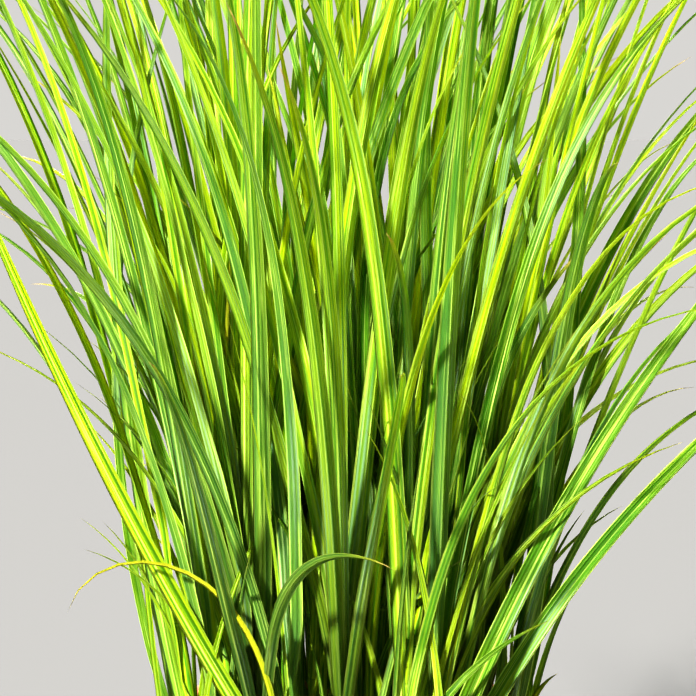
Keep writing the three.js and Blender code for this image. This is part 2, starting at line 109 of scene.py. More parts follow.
# The stems nearest the viewer: the foot, the height, and the main leaves, each as how far up it
# parts, its heading, its first and last lean, the power of its bend, its length, width and roll.
FRONT = (
    (-118, -8, 170, ((12, 4, (-18, 22), 1, 600, 7, 76),)),
    (-104, -44, 150, ((8, 174, (15, -5), 0.9, 640, 12, 82), (30, -8, (4, 52), 1.2, 200, 5, 60))),
    (-84, -70, 140, ((10, 188, (5, 15), 1.2, 465, 14, 82),)),
    (-66, -56, 150, ((26, 0, (-1, 4), 0.7, 620, 6, 60),)),
    (-78, -34, 160, ((20, -8, (-2, 50), 3.4, 600, 9, 74),)),
    (-84, -12, 170, ((34, 4, (-1, 14), 2.6, 450, 8, 80),)),
    (-36, -90, 120, ((4, 190, (32, 20), 0.8, 520, 13, 78),)),
    (-42, -30, 170, ((16, 178, (0, 10), 1.2, 620, 13, 82),)),
    (-22, -60, 150, ((6, 182, (-1, 13), 2, 490, 13, 84),)),
    (0, -44, 160, ((10, 178, (3, 10), 1.2, 470, 12, 82),)),
    (12, -70, 140, ((8, 184, (2, 4), 1, 540, 12, 84), (24, -30, (4, 60), 1.4, 175, 7, 50))),
    (24, -22, 170, ((14, 4, (-4, 60), 4, 610, 11, 76),)),
    (26, 6, 190, ((20, 0, (1.5, 3), 1, 620, 12, 84),)),
    (3, -18, 180, ((16, 6, (0, 58), 2.4, 560, 10, 72),)),
    (34, -104, 110, ((6, -12, (10, 64), 1, 170, 7, 70),)),
    (54, -92, 110, ((4, -10, (20, 42), 1.3, 480, 14, 78),)),
    (68, -72, 120, ((4, -16, (25, 54), 1.2, 430, 12, 76),)),
    (38, -78, 130, ((6, -12, (14, 38), 2, 335, 12, 78),)),
    (40, -50, 150, ((8, -4, (8, 10), 1, 620, 12, 83),)),
    (20, -47, 150, ((18, -6, (6, 48), 3, 580, 9, 72),)),
    (45, -27, 160, ((14, 3, (1, 32), 2.5, 490, 9, 76),)),
    (63, -46, 140, ((30, -8, (2, 50), 2.2, 250, 5, 60),)),
    (108, -38, 160, ((6, 176, (-12, 32), 1.4, 590, 9, 76),)),
    (118, 4, 170, ((10, 6, (11, -4), 1, 620, 12, 83),)),
)

# How bright and yellow the main leaves of each of those stems are, from 0 for a dark blue green to
# 1 for a bright yellow green. Above 1 the leaf is turning yellow. A tone is partly the leaf's own
# colour and partly painted light: bright for a leaf lit by the sun, dark for one in shade.
FRONT_TONES = (
    *(0.05, 0.45, 0.90, 0.70, 0.85, 1.50, 0.95, 0.75, 0.95, 0.90, 0.35, 0.15),
    *(0.70, 0.10, 0.20, 0.10, 0.15, 0.60, 0.05, 0.80, 0.50, 0.80, 0.30, 0.20),
)


# Small helpers


def seed_of(what, stem, k):
    """The seed of a stem's leaf number k."""
    return SEEDS[what] + SEEDS["per_stem"] * stem["number"] + k


def mix(low, high, share):
    return low + (high - low) * share


def smooth(share):
    share = min(1.0, max(0.0, share))
    return share * share * (3 - 2 * share)


def round_at(reach, turn):
    """The x and y that lie so far from the middle, at a turn in radians."""
    return reach * cos(turn), reach * sin(turn)


def numbers(seed):
    """A stream of numbers from 0 to 1, the same on every run for the same seed."""
    state = (seed * 2654435761 + 97) % 2**32

    def draw():
        nonlocal state
        state = (state * 1664525 + 1013904223) % 2**32
        return state / 2**32

    return draw


# The rule that places stems and leaves, as in the solids


def follow(start, heading, drift, lean, power, length):
    """The line of a stem or leaf: a list of (place, direction, the level way across)."""

    def towards(share):
        tilt = radians(mix(lean[0], lean[1], share**power))
        turn = radians(heading + drift * share)
        along = Vector((sin(tilt) * cos(turn), sin(tilt) * sin(turn), cos(tilt)))
        return along, Vector((sin(turn), -cos(turn), 0))

    at = start.copy()
    line = []
    for i in range(STEPS + 1):
        line.append((at.copy(), *towards(i / STEPS)))
        at += towards((i + 0.5) / STEPS)[0] * (length / STEPS)
    return line


def leaf_line(leaf, start):
    return follow(start, *(leaf[what] for what in BEND))


def on_line(line, place):
    i = min(STEPS - 1, int(place))
    return line[i][0].lerp(line[i + 1][0], place - i)


def strayed(wish, attempt, draw):
    """A try at a leaf. The first is the leaf as wished, and later ones stray from it more."""
    stray = wish["stray"] * min(1, attempt / STRAY["full_after"])

    def by(what):
        return (draw() * 2 - 1) * STRAY[what] * stray

    leaf = dict(wish)
    leaf["heading"] += by("heading")
    leaf["drift"] += by("drift")
    leaf["lean"] = (wish["lean"][0] + by("foot"), wish["lean"][1] + by("tip"))
    leaf["roll"] += by("roll")
    leaf["length"] *= 1 - STRAY["shorter"] * draw() * stray
    return leaf


def stem_at(x, y, number, given_height=None):
    """The stem that stands at x, y. Its height is drawn where it isn't given."""
    draw = numbers(SEEDS["stem"] + number)
    out = hypot(x, y) / CROWN_RADIUS
    heading = degrees(atan2(y, x))
    height = given_height or mix(*CROWN["height"], out) + CROWN["height_vary"] * (draw() - 0.5)
    foot = Vector((x, y, SOIL_LEVEL + UPRIGHT))
    turned = heading + CROWN["heading_vary"] * (draw() - 0.5)
    top_lean = mix(*CROWN["top_lean"], out) + CROWN["top_lean_vary"] * draw()
    lean = (mix(*CROWN["foot_lean"], out), top_lean)
    line = follow(foot, turned, 0, lean, CROWN["lean_power"], height)
    stem = {"number": number, "x": x, "y": y, "out": out, "heading": heading, "height": height}
    main = FRONT[number][3] if number < len(FRONT) else ()
    return stem | {"rank": 360 * draw(), "line": line, "main": main}


def all_stems():
    stems = [stem_at(x, y, i, height) for i, (x, y, height, _) in enumerate(FRONT)]
    draw = numbers(SEEDS["crown"])
    seat = 0.5
    while len(stems) < STEM_COUNT:
        reach = min(1, sqrt(seat / CROWN["seats"])) * CROWN_RADIUS
        turn = radians(CROWN["golden_angle"] * seat + CROWN["turn_vary"] * (draw() - 0.5))
        x, y = (at + CROWN["place_vary"] * (draw() - 0.5) for at in round_at(reach, turn))
        if all(hypot(other["x"] - x, other["y"] - y) > STEM_SPACING for other in stems):
            stems.append(stem_at(x, y, len(stems)))
        seat += 1
    return stems


def leaf_wishes(stem):
    """The leaves a stem should have: its main ones, then the others from the lowest up."""
    wishes = []
    for measures in stem["main"]:
        leaf = dict(zip(MAIN_LEAF, measures))
        leaf |= {"drift": 0, "twist": 0, "stray": MAIN_LEAF_STRAY, "age": MAIN_LEAF_AGE}
        leaf["tone"] = FRONT_TONES[stem["number"]]
        wishes.append(leaf)
    main = len(wishes)
    count = LEAVES_PER_FRONT_STEM if stem["number"] < len(FRONT) else LEAVES_PER_STEM
    for k in range(main, count):
        draw = numbers(seed_of("leaf", stem, k))
        up = (k - main + 0.5) / (count - main)

        def between(what):
            return mix(LOW_LEAF[what], TOP_LEAF[what], up)

        side = radians(stem["rank"] + 180 * (k % 2) + LEAF_VARY["side"] * (draw() - 0.5))
        outwards = radians(stem["heading"])
        pull = LEAF_VARY["pull"] * stem["out"]
        x = mix(cos(side), cos(outwards), pull)
        y = mix(sin(side), sin(outwards), pull)
        lean = between("lean") + LEAF_VARY["lean"] * draw() + LEAF_VARY["edge_lean"] * stem["out"]
        arch = between("arch") + between("arch_vary") * draw()
        arch *= mix(*LEAF_VARY["edge_arch"], stem["out"])
        longer = MIDDLE_LONGER * sin(pi * up)
        longer += LEAF_VARY["length"] * (draw() - LEAF_VARY["shorter"])
        leaf = {
            "rise": stem["height"] * between("rise"),
            "heading": degrees(atan2(y, x)),
            "drift": LEAF_VARY["drift"] * (draw() - 0.5),
            "lean": (lean, lean + arch),
            "power": mix(*LEAF_VARY["power"], draw()),
            "length": between("length") + longer,
            "width": between("width") * mix(*LEAF_VARY["width"], draw()),
            "roll": LEAF_VARY["roll"] * (draw() - 0.5),
            "twist": LEAF_VARY["twist"][draw() >= LEAF_VARY["turned_over"]] * (draw() - 0.5),
        }
        wishes.append(leaf | {"stray": 1, "age": 1 - up})
    return wishes


TIP_MATCH = 0.08


def grown_leaves(stem, solid):
    """The leaves that the stem's solid has: of each leaf's tries, the one whose tip is there."""
    tips = KDTree(len(solid.data.vertices))
    for i, vertex in enumerate(solid.data.vertices):
        tips.insert(vertex.co / MM, i)
    tips.balance()
    leaves = []
    for k, wish in enumerate(leaf_wishes(stem)):
        draw = numbers(seed_of("tries", stem, k))
        start = on_line(stem["line"], wish["rise"] / stem["height"] * STEPS)
        for attempt in range(STRAY["tries"]):
            leaf = strayed(wish, attempt, draw)
            line = leaf_line(leaf, start)
            if tips.find(line[-1][0])[2] < TIP_MATCH:
                leaves.append(leaf | {"line": line, "number": k})
                break
    return leaves


# Shader maths


class Value:
    """A socket that the usual operators work on."""

    def __init__(self, net, socket):
        self.net = net
        self.socket = socket

    def maths(self, operation, *others):
        return self.net.node("Math", {"operation": operation}, [self, *others])

    def __rsub__(self, other):
        return self.net.node("Math", {"operation": "SUBTRACT"}, [other, self])

    __add__ = __radd__ = partialmethod(maths, "ADD")
    __sub__ = partialmethod(maths, "SUBTRACT")
    __mul__ = __rmul__ = partialmethod(maths, "MULTIPLY")
    __abs__ = partialmethod(maths, "ABSOLUTE")

    def limited(self):
        """The value kept from 0 to 1."""
        return self.net.node("Clamp", {}, [self])

    def ramp(self, low, high):
        """0 below low, 1 above high, and smooth between. high may be the lower one."""
        settings = {"interpolation_type": "SMOOTHSTEP"}
        if low < high:
            return self.net.node("MapRange", settings, [self, low, high])
        return 1 - self.net.node("MapRange", settings, [self, high, low])


class Net:
    """A material, or a world, and its nodes."""

    def __init__(self, name, world=False):
        self.material = (bpy.data.worlds if world else bpy.data.materials).new(name)
        self.material.use_nodes = True
        self.tree = self.material.node_tree
        self.tree.nodes.clear()

    def node(self, kind, settings=None, values=(), output=0):
        """A shader node of a kind, with its settings and then its values or links, as a Value.

        values is a list in the order of the sockets, or a dict by their names.
        """
        made = self.tree.nodes.new("ShaderNode" + kind)
        for name, setting in (settings or {}).items():
            setattr(made, name, setting)
        pairs = values.items() if isinstance(values, dict) else enumerate(values)
        for name, value in pairs:
            socket = made.inputs[name]
            if isinstance(value, Value):
                self.tree.links.new(value.socket, socket)
            elif value is not None:
                socket.default_value = value
        return Value(self, made.outputs[output])

    def marks(self):
        """What a leaf's two maps say: how far round and along, a number by chance, and the age."""
        maps = [self.node("UVMap", {"uv_map": name}) for name in ("blade", "tone")]
        return [self.node("SeparateXYZ", {}, [m], output=axis) for m in maps for axis in (0, 1)]

    def place(self):
        return self.node("TexCoord", output="Object")

    def stretched(self, vector, scale):
        return self.node("VectorMath", {"operation": "MULTIPLY"}, [vector, scale])

    def height(self, place):
        return self.node("SeparateXYZ", {}, [place], output=2)

    def vector(self, x, y, z):
        return self.node("CombineXYZ", {}, [x, y, z])

    def noise(self, vector, scale, detail=3.0, roughness=0.55):
        values = {"Vector": vector, "Scale": scale, "Detail": detail, "Roughness": roughness}
        return self.node("TexNoise", {}, values)

    def colours(self, share, low, high):
        """A mix of two colours, each of three numbers or a Value."""
        low, high = (end if isinstance(end, Value) else colour(end) for end in (low, high))
        return self.node("Mix", {"data_type": "RGBA"}, {0: share, 6: low, 7: high}, output=2)

    def layered(self, base, *layers):
        """A base colour under others, each given as its share and its colour."""
        for share, over in layers:
            base = self.colours(share, base, over)
        return base

    def bump(self, height, strength, distance):
        values = {"Strength": strength, "Distance": distance, "Height": height}
        return self.node("Bump", {}, values)

    def principled(self, base, roughness, normal, others):
        values = {"Base Color": base, "Roughness": roughness, "Normal": normal}
        return self.node("BsdfPrincipled", {}, values | others)

    def dull(self, base, roughness, reflects, normal=None):
        """The finished material of something that hardly shines."""
        others = {"Specular IOR Level": reflects}
        return self.finish(self.principled(base, roughness, normal, others))

    def between(self, share, shader, other):
        """The first shader where share is 0, and the other where it is 1."""
        return self.node("MixShader", {}, [share, shader, other])

    def finish(self, shader):
        world = isinstance(self.material, bpy.types.World)
        output = self.tree.nodes.new(f"ShaderNodeOutput{'World' if world else 'Material'}")
        self.tree.links.new(shader.socket, output.inputs["Surface"])
        return self.material


def colour(rgb):
    return (*rgb, 1.0)


def times(rgb, share):
    return [c * share for c in rgb]


# Settings that a user would change


def colour_setting(name, description, default):
    return bpy.props.FloatVectorProperty(
        name=name, description=description, subtype="COLOR", size=3, min=0, max=1, default=default
    )


def number_setting(name, description, default, **rest):
    values = {"name": name, "description": description, "default": default, "min": 0, **rest}
    return bpy.props.FloatProperty(**values)


def length_setting(name, description, default):
    return number_setting(name, description, default, subtype="DISTANCE", unit="LENGTH")


class PotSettings(bpy.types.PropertyGroup):
    """The clay pot."""

    edge_round: length_setting("Edge rounding", "Radius of the pot's edges", 0.0022)
    clay: colour_setting("Clay", "Fired clay", (0.235, 0.083, 0.040))
    dark_clay: colour_setting("Dark clay", "Clay where it is damp", (0.145, 0.050, 0.028))
    salt: colour_setting("Salt", "Pale bloom of dried salts", (0.40, 0.325, 0.26))


class CompostSettings(bpy.types.PropertyGroup):
    """The compost in the pot."""

    peat: colour_setting("Peat", "Damp fibre", (0.022, 0.013, 0.008))
    dry: colour_setting("Dry crumbs", "Dry crumbs on top", (0.085, 0.052, 0.03))
    crumbs: bpy.props.IntProperty(
        name="Crumbs", description="Loose crumbs and chips of bark", default=1100, min=0
    )


class GrassSettings(bpy.types.PropertyGroup):
    """Stems and leaves."""

    thickness: length_setting("Leaf thickness", "Thickness of a leaf away from its rib", 0.00045)
    rib: length_setting("Rib height", "How far the rib stands out below a leaf", 0.0006)
    blue_green: colour_setting("Blue green", "Oldest and most shaded leaves", (0.020, 0.145, 0.016))
    green: colour_setting("Green", "Leaf green, between the light bands", (0.045, 0.21, 0.002))
    light_green: colour_setting("Light green", "Light bands of a bright leaf", (0.47, 0.60, 0.004))
    glow: colour_setting("Glow", "Light through one face of a leaf", (0.95, 0.97, 0.03))
    deep_glow: colour_setting("Deep glow", "Light through the veins", (0.32, 0.62, 0.02))
    pale_glow: colour_setting("Pale glow", "Light through ribs and margins", (0.92, 0.98, 0.42))
    dry_glow: colour_setting("Dry glow", "Light through a withered leaf", (0.95, 0.84, 0.25))
    # The bloom colour also paints the patches of sheen on dark leaves.
    bloom: colour_setting("Bloom", "Whitish bloom on the lower face", (0.46, 0.60, 0.44))
    pale: colour_setting("Pale", "Ribs, margins and collars", (0.66, 0.84, 0.19))
    yellow: colour_setting("Yellow", "A leaf that begins to wither", (0.62, 0.60, 0.03))
    straw: colour_setting("Straw", "Withered tips and old sheaths", (0.60, 0.42, 0.16))
    sheen: colour_setting("Sheen", "Tint of what the leaves reflect", (0.93, 1.0, 0.48))
    let_through: number_setting("Light through", "Share that a leaf lets through", 0.5, max=1)


class StageSettings(bpy.types.PropertyGroup):
    """Floor, light and camera."""

    floor: colour_setting("Floor", "Floor and backdrop", (0.100, 0.100, 0.101))
    key: number_setting("Key light", "Strength of the light in front on the left", 15.0)
    side: number_setting("Back light", "Strength of the light behind and above", 6.5)
    fill: number_setting("Fill light", "Power of the light in front, in watts", 8.0)
    sky: number_setting("Sky", "Strength of the even light all round", 0.513)


def settings():
    return bpy.context.scene.silver_grass


class AllSettings(bpy.types.PropertyGroup):
    """Every setting of the object and its stage."""

    pot: bpy.props.PointerProperty(type=PotSettings)
    compost: bpy.props.PointerProperty(type=CompostSettings)
    grass: bpy.props.PointerProperty(type=GrassSettings)
    stage: bpy.props.PointerProperty(type=StageSettings)


# Making pieces


def new_object(name, data):
    made = bpy.data.objects.new(name, data)
    bpy.context.scene.collection.objects.link(made)
    return made


def new_piece(name, bm, materials, nodes=(), stage=False):
    """An object from a bmesh. A piece rides on its body and takes its nodes' place."""
    mesh = bpy.data.meshes.new(name)
    bm.to_mesh(mesh)
    bm.free()
    for material in materials:
        mesh.materials.append(material)
    made = new_object(name, mesh)
    if stage:
        return made
    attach(made, BODY)
    if nodes:
        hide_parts(*nodes)
    return made


def close_up(bm):
    """Joins the points that coincide and turns every face outwards."""
    bmesh.ops.remove_doubles(bm, verts=bm.verts, dist=MERGE)
    bmesh.ops.recalc_face_normals(bm, faces=bm.faces)


def leaf_mesh():
    """An empty mesh with the two maps that leaves and stems have."""
    bm = bmesh.new()
    return bm, [bm.loops.layers.uv.new(name) for name in ("blade", "tone")]


def here(across, along):
    return across, along


def sheet(bm, columns, rows, place, layers, marks, material=0):
    """A grid whose points are put by place(across, along), both from 0 to 1.

    Each layer gets what its own mark gives for those two numbers.
    """
    made = bmesh.ops.create_grid(bm, x_segments=columns, y_segments=rows, size=0.5)["verts"]
    shares = {v: (v.co.x + 0.5, v.co.y + 0.5) for v in made}
    for face in {f for v in made for f in v.link_faces}:
        face.material_index = material
        face.smooth = True
        for loop in face.loops:
            for layer, mark in zip(layers, marks):
                loop[layer].uv = mark(*shares[loop.vert])
    for v, (across, along) in shares.items():
        v.co = place(across, along)


# The pot

POT_HEIGHT = 280.0
POT_FOOT_RADIUS = 112.0
POT_RIM_RADIUS = 165.0
POT_WALL = 10.0
POT_FLOOR = 13.0
POT_COLLAR = 45.0
POT_COLLAR_STEP = 6.0
POT_LIP = 3.0
POT_DRAINS = 4
POT_DRAIN_RADIUS = 7.0
POT_DRAIN_CIRCLE = 64.0
POT_SLOPE = (POT_RIM_RADIUS - POT_COLLAR_STEP - POT_FOOT_RADIUS) / POT_HEIGHT
POT_TURN_STEPS = 144
# An edge that turns by more degrees than this is rounded, in so many steps.
POT_CORNER = 12
POT_ROUND_STEPS = 3
DRAIN_SIDES = 32


def pot_inner_radius(z):
    return POT_FOOT_RADIUS + POT_SLOPE * z - POT_WALL


def clay_material(name, values):
    net = Net(name)
    place = net.place()
    height = net.height(place)
    cloud = net.noise(place, 9.0, 4.0)
    grain = net.noise(place, 420.0, 3.0, 0.7)
    pores = net.noise(place, 900.0, 2.0, 0.6)
    streaks = net.noise(net.stretched(place, (16.0, 16.0, 4.0)), 1.0, 4.0, 0.65)
    rings = net.noise(net.stretched(place, (1.5, 1.5, 160.0)), 1.0, 2.0)
    damp = (height.ramp(0.045, 0.0) * 0.55 + cloud.ramp(0.45, 0.75) * 0.35).limited()
    bloom = streaks.ramp(0.50, 0.72) * (height.ramp(0.02, 0.16) * 0.4 + 0.15)
    base = net.layered(
        values.clay,
        (damp, values.dark_clay),
        (grain.ramp(0.5, 0.8) * 0.35, times(values.clay, 1.35)),
        (pores.ramp(0.42, 0.25) * 0.5, values.dark_clay),
        ((bloom * (grain * 0.8 + 0.4)).limited(), values.salt),
    )
    relief = rings * 0.5 + grain * 0.35 + pores * 0.2
    return net.dull(base, grain * 0.12 + 0.80, 0.3, net.bump(relief, 0.5, 0.0012))


class SILVERGRASS_OT_pot(bpy.types.Operator):
    """Turns the clay pot, with rounded edges and four drain holes"""

    bl_idname = "silver_grass.pot"
    bl_label = "Clay Pot"

    def execute(self, context):
        values = settings().pot
        under = POT_HEIGHT - POT_COLLAR
        mouth = pot_inner_radius(POT_HEIGHT)
        profile = (
            (0, 0),
            (POT_FOOT_RADIUS - POT_LIP, 0),
            (POT_FOOT_RADIUS, POT_LIP),
            (POT_FOOT_RADIUS + POT_SLOPE * under, under),
            (POT_RIM_RADIUS - 1, under + 1),
            (POT_RIM_RADIUS, under + 2 * POT_LIP),
            (POT_RIM_RADIUS, POT_HEIGHT - POT_LIP),
            (POT_RIM_RADIUS - POT_LIP, POT_HEIGHT),
            (mouth + POT_LIP, POT_HEIGHT),
            (mouth, POT_HEIGHT - POT_LIP),
            (pot_inner_radius(POT_FLOOR), POT_FLOOR),
            (0, POT_FLOOR),
        )
        bm = bmesh.new()
        points = [bm.verts.new((r * MM, 0, z * MM)) for r, z in profile]
        edges = [bm.edges.new(pair) for pair in zip(points, points[1:])]
        turned = {"axis": (0, 0, 1), "cent": (0, 0, 0), "angle": tau, "use_merge": True}
        bmesh.ops.spin(bm, geom=points + edges, steps=POT_TURN_STEPS, **turned)
        close_up(bm)
        rims = [
            e
            for e in bm.edges
            if len(e.link_faces) == 2
            and e.calc_face_angle(0) > radians(POT_CORNER)
            and abs(e.verts[0].co.z - e.verts[1].co.z) < MERGE
        ]
        rounding = {"offset": values.edge_round / 2, "segments": POT_ROUND_STEPS, "profile": 0.5}
        rounding |= {"affect": "EDGES", "material": -1, "clamp_overlap": True}
        bmesh.ops.bevel(bm, geom=rims, **rounding)
        for face in bm.faces:
            face.smooth = True
        made = new_piece("clay_pot", bm, [clay_material("fired_clay", values)], ["pot"])
        self.cut_drains(context, made)
        return {"FINISHED"}

    def cut_drains(self, context, pot):
        bm = bmesh.new()
        drain = {"cap_ends": True, "segments": DRAIN_SIDES, "depth": 4 * POT_FLOOR * MM}
        drain |= {"radius1": POT_DRAIN_RADIUS * MM, "radius2": POT_DRAIN_RADIUS * MM}
        for i in range(POT_DRAINS):
            x, y = round_at(POT_DRAIN_CIRCLE, tau * (i + 0.5) / POT_DRAINS)
            at = Matrix.Translation(Vector((x, y, POT_FLOOR / 2)) * MM)
            bmesh.ops.create_cone(bm, matrix=at, **drain)
        cutter = new_piece("drain_cutter", bm, [], stage=True)
        modifier = pot.modifiers.new("drains", "BOOLEAN")
        modifier.object = cutter
        modifier.operation = "DIFFERENCE"
        modifier.solver = "EXACT"
        context.view_layer.update()
        cut = bpy.data.meshes.new_from_object(pot.evaluated_get(context.evaluated_depsgraph_get()))
        pot.modifiers.clear()
        pot.data = cut
        bpy.data.objects.remove(cutter)


# The compost

SOIL_SECTORS = 240
SOIL_RINGS = 76
SOIL_GAP = 0.4
SOIL_WAVES = (9, 11, 23)
# Lumps of two sizes: how wide and how high they are, and their noise's layer and settings.
CLODS = ((9, 2.4, 0, 0.7, 2.1, 5), (2.6, 1.0, 40, 0.6, 2.0, 3))
# The lumps die away over this share of the way to the pot's wall.
LUMP_EASE = 0.06
# The share of the compost's rows that are on its top.
TOP_SHARE = 0.9
CRUMB = {
    "from_wall": 5, "size": (0.8, 2.6), "mostly_small": 2.5, "bark": 0.3,
    "bark_longer": (1.6, 3.2), "bark_thinner": 0.4, "longer": (0.8, 1.3), "thinner": (0.7, 1.0),
    "tilt": 0.9, "raised": 0.25, "dents": 700, "dented": 0.0004,
}


def soil_height(x, y):
    """The lumpy top of the compost, in millimetres, as the solid has it and then finer."""
    edge = pot_inner_radius(SOIL_LEVEL) - SOIL_GAP
    reach = hypot(x, y) / edge
    first, second, third = SOIL_WAVES
    lump = SOIL_LUMP * (sin(x / first) + cos(y / second + x / third))
    fine = 0
    for wide, high, layer, rough, finer, octaves in CLODS:
        fine += noise.fractal(Vector((x, y, layer)) / wide, rough, finer, octaves) * high
    inside = smooth((1 - reach) / LUMP_EASE)
    return SOIL_LEVEL + SOIL_MOUND * (1 - min(1, reach) ** 2) + (lump + fine) * inside


def compost_material(name, values):
    net = Net(name)
    place = net.place()
    clods = net.noise(place, 140.0, 4.0, 0.7)
    grain = net.noise(place, 900.0, 3.0, 0.7)
    patches = net.noise(place, 22.0, 3.0)
    dry = patches.ramp(0.42, 0.68) * clods.ramp(0.40, 0.62) + grain.ramp(0.62, 0.8) * 0.4
    cells = {"Vector": net.stretched(place, (1.0, 0.35, 1.0)), "Scale": 520.0}
    fibre = net.node("TexVoronoi", {}, cells)
    base = net.layered(
        values.peat,
        (dry.limited(), values.dry),
        (fibre.ramp(0.22, 0.10) * 0.45, times(values.dry, 2.2)),
    )
    return net.dull(base, 0.93, 0.25, net.bump(clods + grain * 0.5, 0.8, 0.0018))


def crumb_material(name, values):
    net = Net(name)
    place = net.place()
    patches = net.noise(place, 75.0, 2.0)
    fibres = net.noise(net.stretched(place, (1.0, 1.0, 5.0)), 380.0, 3.0, 0.7)
    base = net.layered(
        values.peat,
        (patches.ramp(0.35, 0.70), values.dry),
        (fibres.ramp(0.5, 0.75) * 0.6, times(values.dry, 1.9)),
    )
    return net.dull(base, 0.88, 0.3, net.bump(fibres, 0.6, 0.0008))


class SILVERGRASS_OT_compost(bpy.types.Operator):
    """Fills the pot with lumpy compost, with loose crumbs and chips of bark on top"""

    bl_idname = "silver_grass.compost"
    bl_label = "Compost"

    def execute(self, context):
        values = settings().compost
        self.body(values)
        self.crumbs(values)
        return {"FINISHED"}

    def body(self, values):
        edge = pot_inner_radius(SOIL_LEVEL) - SOIL_GAP
        low = POT_FLOOR + SOIL_GAP

        def place(across, along):
            turn = tau * across
            if along <= TOP_SHARE:
                x, y = round_at(edge * along / TOP_SHARE, turn)
                return Vector((x, y, soil_height(x, y))) * MM
            down = (along - TOP_SHARE) / (1 - TOP_SHARE)
            wall = min(1, down * 2)
            under = max(0, down * 2 - 1)
            reach = mix(edge, pot_inner_radius(low) - SOIL_GAP, wall) * (1 - under)
            return Vector((*round_at(reach, turn), mix(SOIL_LEVEL, low, wall))) * MM

        bm = bmesh.new()
        layers = [bm.loops.layers.uv.new("soil")]
        sheet(bm, SOIL_SECTORS, SOIL_RINGS, place, layers, [here])
        close_up(bm)
        new_piece("compost", bm, [compost_material("damp_compost", values)], ["soil"])

    def crumbs(self, values):
        draw = numbers(SEEDS["crumbs"])
        bm = bmesh.new()
        edge = pot_inner_radius(SOIL_LEVEL) - CRUMB["from_wall"]
        for _ in range(values.crumbs):
            reach = edge * sqrt(draw())
            x, y = round_at(reach, tau * draw())
            z = soil_height(x, y)
            size = mix(*CRUMB["size"], draw() ** CRUMB["mostly_small"])
            flat = draw() < CRUMB["bark"]
            longer = mix(*CRUMB["bark_longer" if flat else "longer"], draw())
            thinner = CRUMB["bark_thinner"] if flat else mix(*CRUMB["thinner"], draw())
            turned = Quaternion((0, 0, 1), tau * draw())
            tilted = Quaternion((1, 0, 0), CRUMB["tilt"] * (draw() - 0.5))
            spin = (turned @ tilted).to_matrix().to_4x4()
            stretch = Matrix.Diagonal((size * longer * MM, size * MM, size * thinner * MM, 1))
            at = Matrix.Translation(Vector((x, y, z + CRUMB["raised"] * size)) * MM)
            ball = {"subdivisions": 1, "radius": 1, "matrix": at @ spin @ stretch}
            for v in bmesh.ops.create_icosphere(bm, **ball)["verts"]:
                v.co += noise.noise_vector(v.co * CRUMB["dents"]) * CRUMB["dented"] * size
        new_piece("compost_crumbs", bm, [crumb_material("crumbs_and_bark", values)])


# Stems and leaves

# Rows and points of a leaf's and a stem's grid. A leaf's rows crowd towards its root, and its
# points towards its rib.
LEAF_ROWS = 38
LEAF_AROUND = 12
ROW_CROWDING = 1.5
RIB_CROWDING = 1.35
STEM_ROWS = 44
STEM_AROUND = 14
# A leaf opens over the first lengths of its blade and widens by this share of it. Its fold is
# deeper than the solid's and changes along it in waves, with a rounded rib.
CURL_LENGTH = 70.0
MOUTH_LENGTH = 34.0
WIDEN_BY = 0.14
ROOT_WIDTH = 0.62
FOLD_DEEPER = 2.6
FOLD_WAVE = 0.35
WAVE_LENGTH = 70
RIPPLES = 60
RIB_ROUND = 0.006
RIB_DROP = 0.077
RIB_HALF_WIDTH = 0.16
PLEATS = 5
PLEAT_HEIGHT = 0.12
VEINS_PER_PLEAT = 4
# A stem starts below its foot, swells under each collar and ends in a spear.
SHEATH = 0.35
SHEATH_VEINS = 26
STEM_UNDER = -26.0
SWELLING = 45
COLLAR = 14
SPEAR = 22
# A stem nearer to the middle than this share of the crown has the inner leaf's material, with
# painted shade.
INNER_SHARE = 0.8
# The colours of a sheath at its foot, where it is paler and here and there reddish.
SHEATH_FOOT = (0.40, 0.46, 0.17)
SHEATH_RED = (0.20, 0.045, 0.03)


def leaf_width(share, width):
    root = mix(ROOT_WIDTH, 1, smooth(share / WIDEN_BY))
    return width * root * max(0.0, 1 - share**TAPER_POWER) ** TIP_POWER


def eased(line, share):
    """A place and directions on a line, curved smoothly through its points."""
    place = min(share * STEPS, STEPS - 1e-6)
    i = int(place)
    t = place - i
    (a, along_a, across_a), (b, along_b, across_b) = line[i], line[i + 1]
    reach = (b - a).length
    at = (
        a * (2 * t**3 - 3 * t**2 + 1)
        + along_a * (reach * (t**3 - 2 * t**2 + t))
        + b * (3 * t**2 - 2 * t**3)
        + along_b * (reach * (t**3 - t**2))
    )
    return at, along_a.lerp(along_b, t).normalized(), across_a.lerp(across_b, t).normalized()


def stem_radius(share):
    return mix(FOOT_RADIUS, TOP_RADIUS, share)


